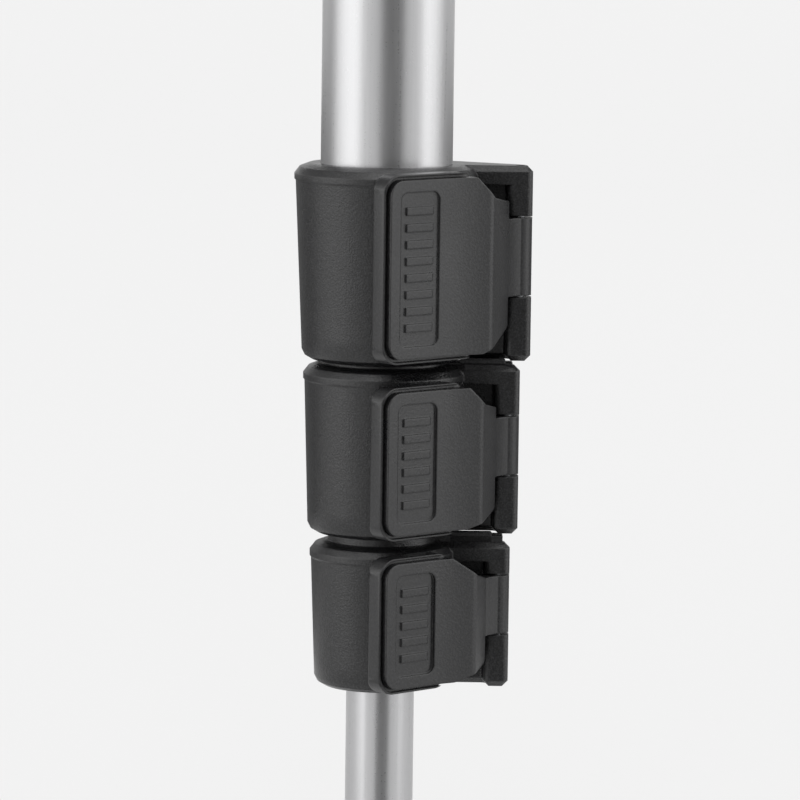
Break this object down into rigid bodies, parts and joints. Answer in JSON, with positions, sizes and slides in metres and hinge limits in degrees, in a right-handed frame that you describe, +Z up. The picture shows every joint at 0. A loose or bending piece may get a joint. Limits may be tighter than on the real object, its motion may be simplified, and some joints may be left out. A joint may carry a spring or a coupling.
{
  "type": "camera tripod",
  "caption": "Camera tripod with telescopic legs held by flip-lever locks, a sliding centre column and a pan and tilt head with a quick plate.",
  "frame": {"origin": "on the floor, under the centre column's axis, in the standing pose with the legs spread and pushed home", "axes": "+Z up along the centre column; -Y towards leg a, whose lock levers face -Y; +Y along the pan handle"},
  "size_m": [0.4328, 0.4502, 0.6253],
  "materials": {
    "black_casting": "satin black paint",
    "steel": "plain",
    "black_nylon": "fine moulded grain",
    "silver_tube": "satin anodised",
    "rubber": "matt",
    "lever_nylon": "smooth satin"
  },
  "bodies": {
    "crown": {"crown": "black_casting", "leg_pivot_bolts": "steel"},
    "column_lock_knob": {"column_lock_knob": "black_nylon"},
    "column": {"column_tube": "silver_tube", "column_hook": "black_nylon", "pan_base": "black_nylon"},
    "pan": {"pan_body": "black_nylon"},
    "pan_lock_knob": {"pan_lock_knob": "black_nylon"},
    "tilt": {"tilt_body": "black_nylon"},
    "handle": {"handle_rod": "steel", "handle_grip": "rubber"},
    "platform": {"platform": "black_nylon"},
    "plate_lever": {"plate_lever": "lever_nylon"},
    "quick_plate": {"quick_plate": "black_nylon"},
    "camera_screw": {"camera_screw": "steel"},
    "leg_a_upper": {"leg_a_yoke": "black_nylon", "leg_a_tube_1": "silver_tube", "leg_a_collar_1": "black_nylon", "leg_a_lock_fittings_1": "steel"},
    "leg_a_second": {"leg_a_tube_2": "silver_tube", "leg_a_collar_2": "black_nylon", "leg_a_lock_fittings_2": "steel"},
    "leg_a_third": {"leg_a_tube_3": "silver_tube", "leg_a_collar_3": "black_nylon", "leg_a_lock_fittings_3": "steel"},
    "leg_a_bottom": {"leg_a_tube_4": "silver_tube", "leg_a_foot": "rubber"},
    "leg_a_lever_1": {"leg_a_lever_1": "lever_nylon"},
    "leg_a_lever_2": {"leg_a_lever_2": "lever_nylon"},
    "leg_a_lever_3": {"leg_a_lever_3": "lever_nylon"},
    "leg_b_upper": {"leg_b_yoke": "black_nylon", "leg_b_tube_1": "silver_tube", "leg_b_collar_1": "black_nylon", "leg_b_lock_fittings_1": "steel"},
    "leg_b_second": {"leg_b_tube_2": "silver_tube", "leg_b_collar_2": "black_nylon", "leg_b_lock_fittings_2": "steel"},
    "leg_b_third": {"leg_b_tube_3": "silver_tube", "leg_b_collar_3": "black_nylon", "leg_b_lock_fittings_3": "steel"},
    "leg_b_bottom": {"leg_b_tube_4": "silver_tube", "leg_b_foot": "rubber"},
    "leg_b_lever_1": {"leg_b_lever_1": "lever_nylon"},
    "leg_b_lever_2": {"leg_b_lever_2": "lever_nylon"},
    "leg_b_lever_3": {"leg_b_lever_3": "lever_nylon"},
    "leg_c_upper": {"leg_c_yoke": "black_nylon", "leg_c_tube_1": "silver_tube", "leg_c_collar_1": "black_nylon", "leg_c_lock_fittings_1": "steel"},
    "leg_c_second": {"leg_c_tube_2": "silver_tube", "leg_c_collar_2": "black_nylon", "leg_c_lock_fittings_2": "steel"},
    "leg_c_third": {"leg_c_tube_3": "silver_tube", "leg_c_collar_3": "black_nylon", "leg_c_lock_fittings_3": "steel"},
    "leg_c_bottom": {"leg_c_tube_4": "silver_tube", "leg_c_foot": "rubber"},
    "leg_c_lever_1": {"leg_c_lever_1": "lever_nylon"},
    "leg_c_lever_2": {"leg_c_lever_2": "lever_nylon"},
    "leg_c_lever_3": {"leg_c_lever_3": "lever_nylon"}
  },
  "joints": [
    {"name": "column_lock_knob_turn", "type": "hinge", "parent": "crown", "child": "column_lock_knob", "pos_m": [0, 0, 0.51164], "axis": [0.866, -0.5, 0], "range_deg": [0, 270]},
    {"name": "column_slide", "type": "slide", "parent": "crown", "child": "column", "axis": [0, 0, 1], "range_m": [0, 0.25]},
    {"name": "pan_turn", "type": "hinge", "parent": "column", "child": "pan", "pos_m": [0, 0, 0.53624], "axis": [0, 0, 1], "continuous": true},
    {"name": "pan_lock_knob_turn", "type": "hinge", "parent": "pan", "child": "pan_lock_knob", "pos_m": [0, 0, 0.54324], "axis": [0.9063, -0.4226, 0], "range_deg": [0, 270]},
    {"name": "tilt_turn", "type": "hinge", "parent": "pan", "child": "tilt", "pos_m": [0, 0, 0.57824], "axis": [1, 0, 0], "range_deg": [-20, 80]},
    {"name": "handle_twist", "type": "hinge", "parent": "tilt", "child": "handle", "pos_m": [0, 0, 0.57824], "axis": [0, 0.9781, -0.2079], "range_deg": [0, 270]},
    {"name": "platform_flip", "type": "hinge", "parent": "tilt", "child": "platform", "pos_m": [-0.027, 0, 0.60254], "axis": [0, -1, 0], "range_deg": [0, 90]},
    {"name": "plate_lever_turn", "type": "hinge", "parent": "platform", "child": "plate_lever", "pos_m": [0.028, -0.013, 0.60504], "axis": [0, 0, -1], "range_deg": [0, 90]},
    {"name": "quick_plate_slide", "type": "slide", "parent": "platform", "child": "quick_plate", "axis": [0, 1, 0], "range_m": [0, 0.045]},
    {"name": "camera_screw_turn", "type": "hinge", "parent": "quick_plate", "child": "camera_screw", "pos_m": [0, 0, 0.61084], "axis": [0, 0, 1], "continuous": true},
    {"name": "leg_a_spread", "type": "hinge", "parent": "crown", "child": "leg_a_upper", "pos_m": [0, -0.034, 0.48764], "axis": [-1, 0, 0], "range_deg": [-23, 0]},
    {"name": "leg_a_slide_1", "type": "slide", "parent": "leg_a_upper", "child": "leg_a_second", "axis": [0, -0.3907, -0.9205], "range_m": [0, 0.3]},
    {"name": "leg_a_slide_2", "type": "slide", "parent": "leg_a_second", "child": "leg_a_third", "axis": [0, -0.3907, -0.9205], "range_m": [0, 0.3]},
    {"name": "leg_a_slide_3", "type": "slide", "parent": "leg_a_third", "child": "leg_a_bottom", "axis": [0, -0.3907, -0.9205], "range_m": [0, 0.3]},
    {"name": "leg_a_lever_1_turn", "type": "hinge", "parent": "leg_a_upper", "child": "leg_a_lever_1", "pos_m": [0.0253, -0.18901, 0.12373], "axis": [0, 0.3907, 0.9205], "range_deg": [0, 110]},
    {"name": "leg_a_lever_2_turn", "type": "hinge", "parent": "leg_a_second", "child": "leg_a_lever_2", "pos_m": [0.0234, -0.2029, 0.091], "axis": [0, 0.3907, 0.9205], "range_deg": [0, 110]},
    {"name": "leg_a_lever_3_turn", "type": "hinge", "parent": "leg_a_third", "child": "leg_a_lever_3", "pos_m": [0.022, -0.21531, 0.06178], "axis": [0, 0.3907, 0.9205], "range_deg": [0, 110]},
    {"name": "leg_b_spread", "type": "hinge", "parent": "crown", "child": "leg_b_upper", "pos_m": [0.02944, 0.017, 0.48764], "axis": [0.5, -0.866, 0], "range_deg": [-23, 0]},
    {"name": "leg_b_slide_1", "type": "slide", "parent": "leg_b_upper", "child": "leg_b_second", "axis": [0.3384, 0.1954, -0.9205], "range_m": [0, 0.3]},
    {"name": "leg_b_slide_2", "type": "slide", "parent": "leg_b_second", "child": "leg_b_third", "axis": [0.3384, 0.1954, -0.9205], "range_m": [0, 0.3]},
    {"name": "leg_b_slide_3", "type": "slide", "parent": "leg_b_third", "child": "leg_b_bottom", "axis": [0.3384, 0.1954, -0.9205], "range_m": [0, 0.3]},
    {"name": "leg_b_lever_1_turn", "type": "hinge", "parent": "leg_b_upper", "child": "leg_b_lever_1", "pos_m": [0.15104, 0.11642, 0.12373], "axis": [-0.3384, -0.1954, 0.9205], "range_deg": [0, 110]},
    {"name": "leg_b_lever_2_turn", "type": "hinge", "parent": "leg_b_second", "child": "leg_b_lever_2", "pos_m": [0.16402, 0.12172, 0.091], "axis": [-0.3384, -0.1954, 0.9205], "range_deg": [0, 110]},
    {"name": "leg_b_lever_3_turn", "type": "hinge", "parent": "leg_b_third", "child": "leg_b_lever_3", "pos_m": [0.17546, 0.12671, 0.06178], "axis": [-0.3384, -0.1954, 0.9205], "range_deg": [0, 110]},
    {"name": "leg_c_spread", "type": "hinge", "parent": "crown", "child": "leg_c_upper", "pos_m": [-0.02944, 0.017, 0.48764], "axis": [0.5, 0.866, 0], "range_deg": [-23, 0]},
    {"name": "leg_c_slide_1", "type": "slide", "parent": "leg_c_upper", "child": "leg_c_second", "axis": [-0.3384, 0.1954, -0.9205], "range_m": [0, 0.3]},
    {"name": "leg_c_slide_2", "type": "slide", "parent": "leg_c_second", "child": "leg_c_third", "axis": [-0.3384, 0.1954, -0.9205], "range_m": [0, 0.3]},
    {"name": "leg_c_slide_3", "type": "slide", "parent": "leg_c_third", "child": "leg_c_bottom", "axis": [-0.3384, 0.1954, -0.9205], "range_m": [0, 0.3]},
    {"name": "leg_c_lever_1_turn", "type": "hinge", "parent": "leg_c_upper", "child": "leg_c_lever_1", "pos_m": [-0.17634, 0.0726, 0.12373], "axis": [0.3384, -0.1954, 0.9205], "range_deg": [0, 110]},
    {"name": "leg_c_lever_2_turn", "type": "hinge", "parent": "leg_c_second", "child": "leg_c_lever_2", "pos_m": [-0.18742, 0.08119, 0.091], "axis": [0.3384, -0.1954, 0.9205], "range_deg": [0, 110]},
    {"name": "leg_c_lever_3_turn", "type": "hinge", "parent": "leg_c_third", "child": "leg_c_lever_3", "pos_m": [-0.19746, 0.0886, 0.06178], "axis": [0.3384, -0.1954, 0.9205], "range_deg": [0, 110]}
  ]
}
